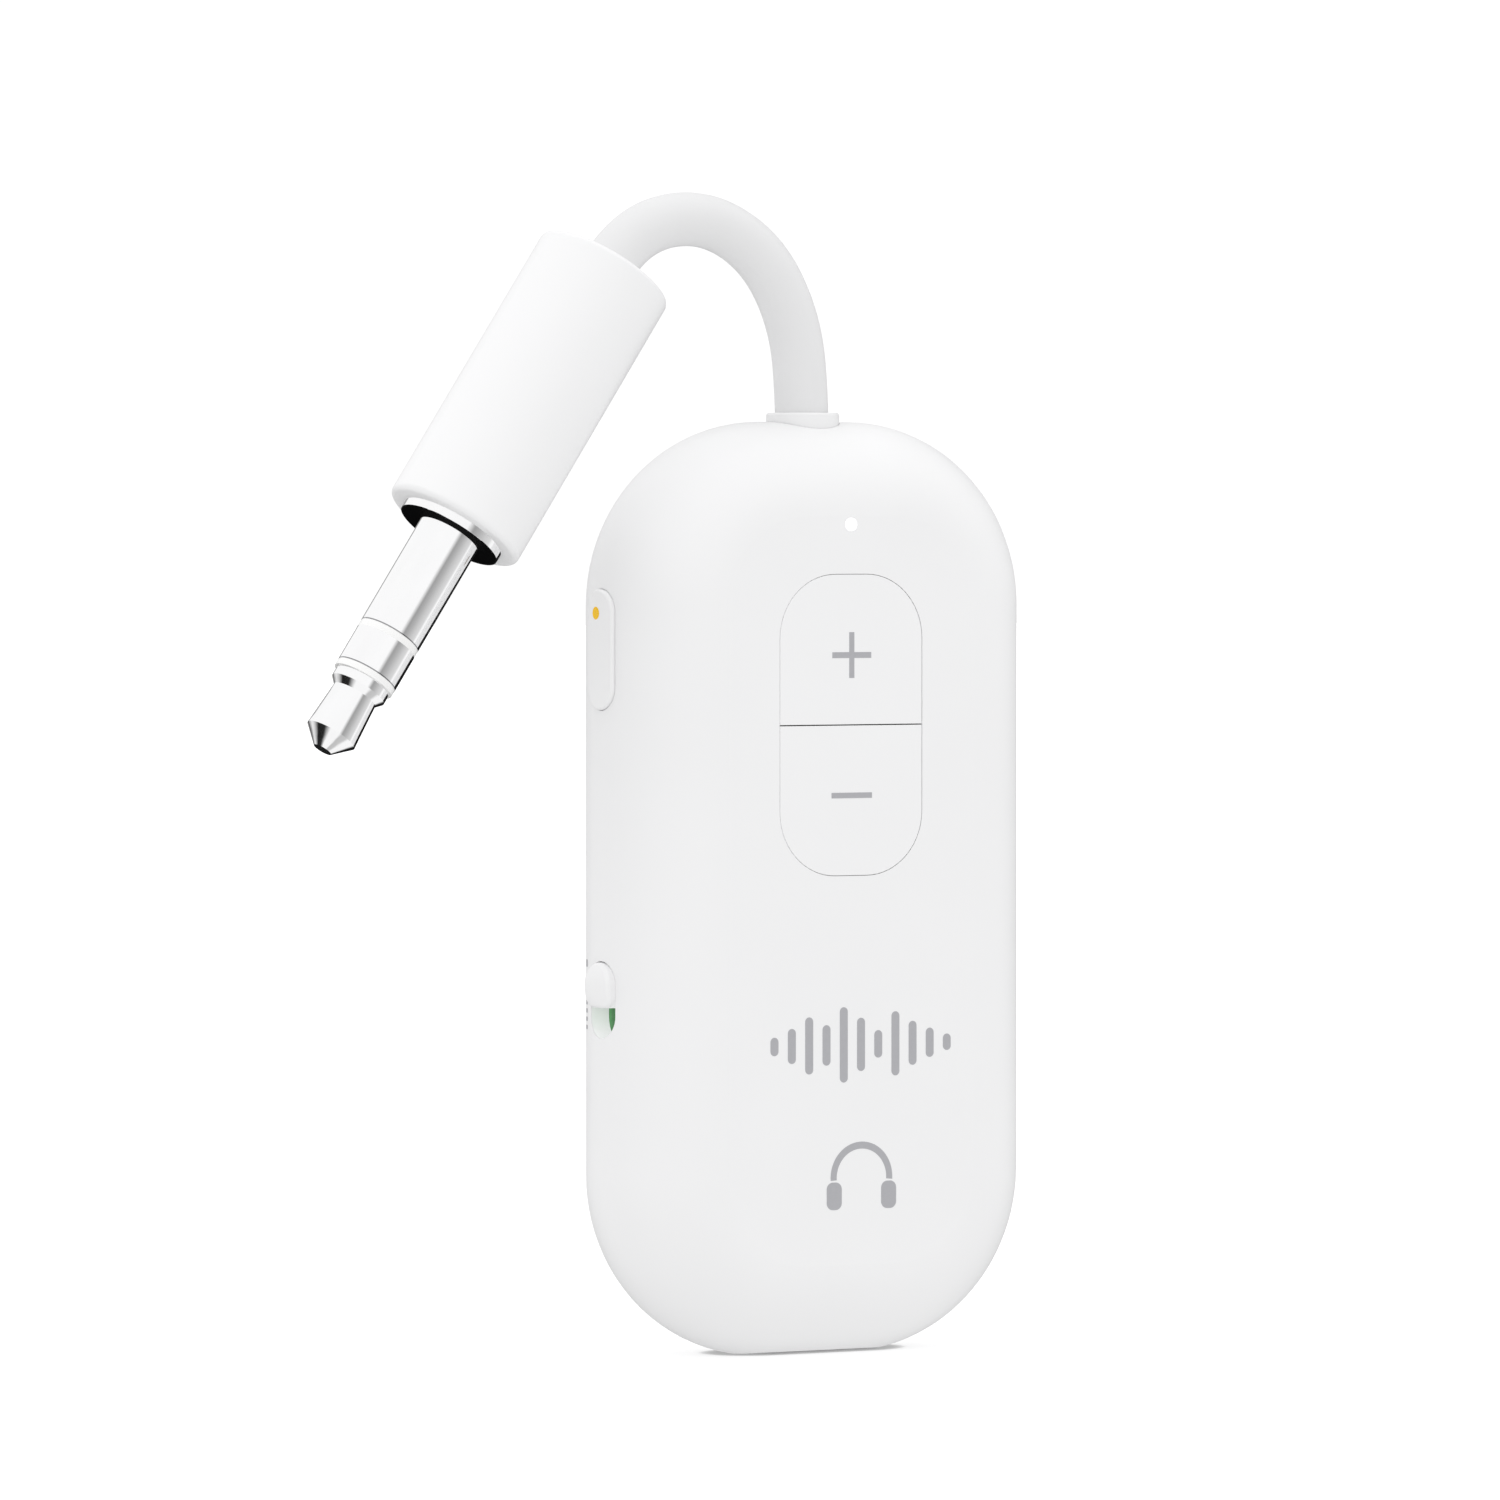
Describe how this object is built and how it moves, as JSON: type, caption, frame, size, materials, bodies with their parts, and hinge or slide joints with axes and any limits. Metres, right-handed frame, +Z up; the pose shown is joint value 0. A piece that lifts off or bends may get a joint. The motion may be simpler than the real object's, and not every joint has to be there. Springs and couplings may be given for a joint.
{
  "type": "bluetooth audio receiver",
  "caption": "Pocket wireless audio receiver: pebble-shaped white housing with volume keys, side power key and slide switch, and a short pigtail with a 3.5 mm stereo plug.",
  "frame": {"origin": "middle of the housing's base, level with the lowest points of the socket's rim", "axes": "+X to the right as seen from the front, +Y from the front face to the back, +Z up along the housing's length"},
  "size_m": [0.0432, 0.0104, 0.0634],
  "materials": {
    "shell_white": "fine satin moulded texture",
    "key_white": "fine satin moulded texture",
    "cable_white": "soft satin jacket",
    "barrel_white": "smooth satin overmould",
    "plug_chrome": "polished plating",
    "plug_black": "moulded insulator",
    "plug_insulator": "white moulded insulator",
    "light_clear": "milky light pipe",
    "light_amber": "amber light pipe",
    "mark_green": "deep green film",
    "board_green": "solder mask",
    "chip_black": "epoxy package",
    "shield_steel": "tinned steel can",
    "socket_steel": "drawn steel shell",
    "contact_gold": "gold flash",
    "cell_silver": "pouch foil",
    "foam_grey": "foam pad",
    "lead_red_black": "thin insulated lead",
    "screw_steel": "zinc plated",
    "mark_grey": "pad-printed ink"
  },
  "bodies": {
    "receiver": {"front_housing": "shell_white", "rear_cover": "shell_white", "volume_up_switch": "shield_steel", "volume_down_switch": "shield_steel", "power_switch": "shield_steel", "mode_switch": "shield_steel", "power_led": "light_clear", "status_led": "light_clear", "status_light_pipe": "light_clear", "main_board": "board_green", "board_screws": "screw_steel", "radio_shield": "shield_steel", "radio_chip": "chip_black", "audio_chip": "chip_black", "charger_chip": "chip_black", "crystal": "shield_steel", "chip_antenna": "foam_grey", "small_chips": "chip_black", "socket_shell": "socket_steel", "socket_tongue": "plug_black", "socket_contacts": "contact_gold", "battery_cell": "cell_silver", "battery_pad": "foam_grey", "battery_leads": "lead_red_black", "cable_collar": "cable_white", "cable_crimp": "contact_gold", "pigtail_cable": "cable_white", "pigtail_wires": "lead_red_black", "plug_barrel": "barrel_white", "plug_shoulder": "plug_chrome", "plug_shoulder_ring": "plug_black", "plug_sleeve": "plug_chrome", "plug_spacers": "plug_insulator", "plug_ring": "plug_chrome", "plug_tip": "plug_chrome"},
    "volume_up": {"volume_up_button": "key_white", "volume_up_stem": "chip_black"},
    "volume_down": {"volume_down_button": "key_white", "volume_down_stem": "chip_black"},
    "power_key": {"power_button": "key_white", "power_light_pipe": "light_amber", "power_stem": "chip_black"},
    "mode_slider": {"mode_knob": "key_white", "mode_indicator": "mark_green", "mode_lever": "chip_black"}
  },
  "joints": [
    {"name": "volume_up_press", "type": "slide", "parent": "receiver", "child": "volume_up", "axis": [0, 1, 0], "range_m": [0, 0.00025], "stiffness_N_per_m": 400},
    {"name": "volume_down_press", "type": "slide", "parent": "receiver", "child": "volume_down", "axis": [0, 1, 0], "range_m": [0, 0.00025], "stiffness_N_per_m": 400},
    {"name": "power_press", "type": "slide", "parent": "receiver", "child": "power_key", "axis": [1, 0, 0], "range_m": [0, 0.00025], "stiffness_N_per_m": 400},
    {"name": "mode_slide", "type": "slide", "parent": "receiver", "child": "mode_slider", "axis": [0, 0, -1], "range_m": [0, 0.0011]}
  ]
}
